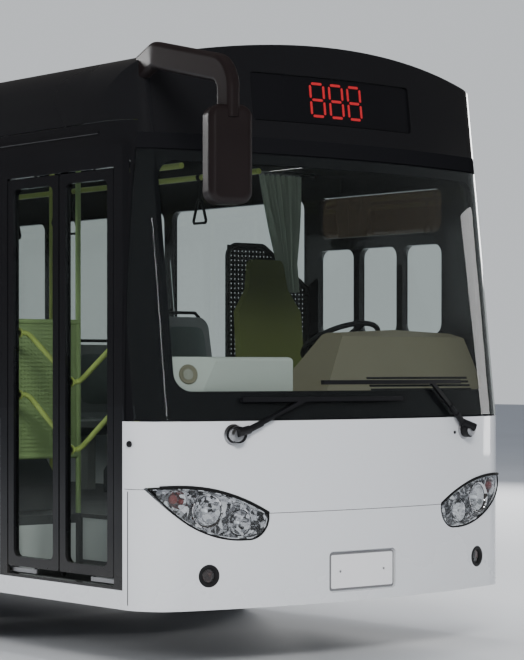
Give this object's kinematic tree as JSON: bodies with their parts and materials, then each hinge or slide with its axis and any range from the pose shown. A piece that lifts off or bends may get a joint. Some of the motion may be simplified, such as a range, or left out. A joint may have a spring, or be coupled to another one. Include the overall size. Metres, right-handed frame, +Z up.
{
  "type": "city bus with two double doors",
  "caption": "City bus with a wrap-round windscreen, gliding double doors, steered front wheels and an engine lid.",
  "frame": {"origin": "centre of the bus's box, on the road", "axes": "+Z up, front at -Y, door side at -X"},
  "size_m": [2.7675, 11.034, 3.375],
  "materials": {
    "body_white": "gloss paint",
    "gloss_black": "gloss paint",
    "matte_black": "grained plastic",
    "chassis_black": "matt chassis paint",
    "floor_grey": "vinyl floor covering",
    "tinted_glass": "tinted glass",
    "clear_glass": "clear glass",
    "red_lamp": "ribbed lamp lens",
    "display_black": "dark display window",
    "lamp_chrome": "bright reflector",
    "door_black": "satin black paint",
    "dash_grey": "grained moulding",
    "seat_grey": "moulded shell",
    "seat_green": "moulded shell",
    "panel_green": "moulded panel",
    "dash_light": "grained moulding",
    "rail_green": "coated tube",
    "panel_black": "perforated panel",
    "curtain_cloth": "woven cloth",
    "wiper_black": "satin black",
    "engine_iron": "painted casting",
    "wheel_plastic": "grained rim",
    "tyre_rubber": "rubber",
    "rim_silver": "silver paint"
  },
  "bodies": {
    "body": {"underframe": "chassis_black", "floor": "floor_grey", "roof": "gloss_black", "skirt_left": "body_white", "skirt_right": "body_white", "window_band_left": "gloss_black", "window_band_right": "gloss_black", "side_glass": "tinted_glass", "rear_wall": "gloss_black", "rear_glass": "tinted_glass", "rear_lamps": "red_lamp", "rear_bumper": "matte_black", "front_frame": "gloss_black", "windscreen": "clear_glass", "display": "display_black", "nose_panel": "body_white", "front_bumper": "body_white", "headlamps": "lamp_chrome", "lamp_lenses": "clear_glass", "door_frames": "door_black", "dashboard": "dash_grey", "driver_seat": "seat_green", "passenger_seats": "seat_grey", "handrails": "rail_green", "partition": "panel_black", "modesty_panels": "panel_green", "dash_box": "dash_light", "curtain": "curtain_cloth", "mirror_right": "gloss_black", "mirror_left": "gloss_black", "wipers": "wiper_black", "roof_unit": "body_white", "engine": "engine_iron", "front_axle": "chassis_black", "rear_axle": "chassis_black"},
    "engine_lid": {"engine_lid": "gloss_black"},
    "roof_hatch": {"roof_hatch": "body_white"},
    "steering_wheel": {"steering_wheel": "wheel_plastic"},
    "knuckle_left": {"knuckle_left": "chassis_black"},
    "wheel_front_left": {"tyre_front_left": "tyre_rubber", "rim_front_left": "rim_silver"},
    "wheels_rear_left": {"tyres_rear_left": "tyre_rubber", "rims_rear_left": "rim_silver"},
    "knuckle_right": {"knuckle_right": "chassis_black"},
    "wheel_front_right": {"tyre_front_right": "tyre_rubber", "rim_front_right": "rim_silver"},
    "wheels_rear_right": {"tyres_rear_right": "tyre_rubber", "rims_rear_right": "rim_silver"},
    "door_front_arm_a": {"door_front_arm_a": "door_black"},
    "door_front_leaf_a": {"door_front_leaf_a": "door_black", "door_front_glass_a": "clear_glass"},
    "door_front_arm_b": {"door_front_arm_b": "door_black"},
    "door_front_leaf_b": {"door_front_leaf_b": "door_black", "door_front_glass_b": "clear_glass"},
    "door_mid_arm_a": {"door_mid_arm_a": "door_black"},
    "door_mid_leaf_a": {"door_mid_leaf_a": "door_black", "door_mid_glass_a": "clear_glass"},
    "door_mid_arm_b": {"door_mid_arm_b": "door_black"},
    "door_mid_leaf_b": {"door_mid_leaf_b": "door_black", "door_mid_glass_b": "clear_glass"}
  },
  "joints": [
    {"name": "engine_lid_hinge", "type": "hinge", "parent": "body", "child": "engine_lid", "pos_m": [0, 5.51, 1.325], "axis": [1, 0, 0], "range_deg": [0, 75]},
    {"name": "roof_hatch_hinge", "type": "hinge", "parent": "body", "child": "roof_hatch", "pos_m": [0, -1.13, 3.21], "axis": [1, 0, 0], "range_deg": [0, 60]},
    {"name": "steer_left", "type": "hinge", "parent": "body", "child": "knuckle_left", "pos_m": [0.925, -2.43, 0.478], "axis": [0, 0, 1], "range_deg": [-35, 35]},
    {"name": "roll_front_left", "type": "hinge", "parent": "knuckle_left", "child": "wheel_front_left", "pos_m": [1.055, -2.43, 0.478], "axis": [1, 0, 0], "continuous": true},
    {"name": "roll_rear_left", "type": "hinge", "parent": "body", "child": "wheels_rear_left", "pos_m": [0.916, 2.77, 0.478], "axis": [1, 0, 0], "continuous": true},
    {"name": "steer_right", "type": "hinge", "parent": "body", "child": "knuckle_right", "pos_m": [-0.925, -2.43, 0.478], "axis": [0, 0, 1], "range_deg": [-35, 35]},
    {"name": "roll_front_right", "type": "hinge", "parent": "knuckle_right", "child": "wheel_front_right", "pos_m": [-1.055, -2.43, 0.478], "axis": [1, 0, 0], "continuous": true},
    {"name": "roll_rear_right", "type": "hinge", "parent": "body", "child": "wheels_rear_right", "pos_m": [-0.916, 2.77, 0.478], "axis": [1, 0, 0], "continuous": true},
    {"name": "steering_wheel_turn", "type": "hinge", "parent": "body", "child": "steering_wheel", "pos_m": [0.7, -3.995, 1.67], "axis": [0, 0.4695, 0.8829], "range_deg": [-560, 560]},
    {"name": "front_arm_a_turn", "type": "hinge", "parent": "body", "child": "door_front_arm_a", "pos_m": [-1.212, -4.53, 1.5], "axis": [0, 0, -1], "range_deg": [0, 82]},
    {"name": "front_leaf_a_turn", "type": "hinge", "parent": "door_front_arm_a", "child": "door_front_leaf_a", "pos_m": [-1.212, -4.285, 1.5], "axis": [0, 0, 1], "range_deg": [0, 164]},
    {"name": "front_arm_b_turn", "type": "hinge", "parent": "body", "child": "door_front_arm_b", "pos_m": [-1.212, -3.502, 1.5], "axis": [0, 0, 1], "range_deg": [0, 82]},
    {"name": "front_leaf_b_turn", "type": "hinge", "parent": "door_front_arm_b", "child": "door_front_leaf_b", "pos_m": [-1.212, -3.747, 1.5], "axis": [0, 0, -1], "range_deg": [0, 164]},
    {"name": "mid_arm_a_turn", "type": "hinge", "parent": "body", "child": "door_mid_arm_a", "pos_m": [-1.212, -0.06, 1.5], "axis": [0, 0, -1], "range_deg": [0, 82]},
    {"name": "mid_leaf_a_turn", "type": "hinge", "parent": "door_mid_arm_a", "child": "door_mid_leaf_a", "pos_m": [-1.212, 0.185, 1.5], "axis": [0, 0, 1], "range_deg": [0, 164]},
    {"name": "mid_arm_b_turn", "type": "hinge", "parent": "body", "child": "door_mid_arm_b", "pos_m": [-1.212, 0.968, 1.5], "axis": [0, 0, 1], "range_deg": [0, 82]},
    {"name": "mid_leaf_b_turn", "type": "hinge", "parent": "door_mid_arm_b", "child": "door_mid_leaf_b", "pos_m": [-1.212, 0.723, 1.5], "axis": [0, 0, -1], "range_deg": [0, 164]}
  ],
  "couplings": [
    {"joint": "steer_right", "follows": "steer_left", "ratio": 1},
    {"joint": "steering_wheel_turn", "follows": "steer_left", "ratio": 16},
    {"joint": "front_leaf_a_turn", "follows": "front_arm_a_turn", "ratio": 2},
    {"joint": "front_leaf_b_turn", "follows": "front_arm_a_turn", "ratio": 2},
    {"joint": "front_arm_b_turn", "follows": "front_arm_a_turn", "ratio": 1},
    {"joint": "mid_leaf_a_turn", "follows": "mid_arm_a_turn", "ratio": 2},
    {"joint": "mid_leaf_b_turn", "follows": "mid_arm_a_turn", "ratio": 2},
    {"joint": "mid_arm_b_turn", "follows": "mid_arm_a_turn", "ratio": 1}
  ]
}
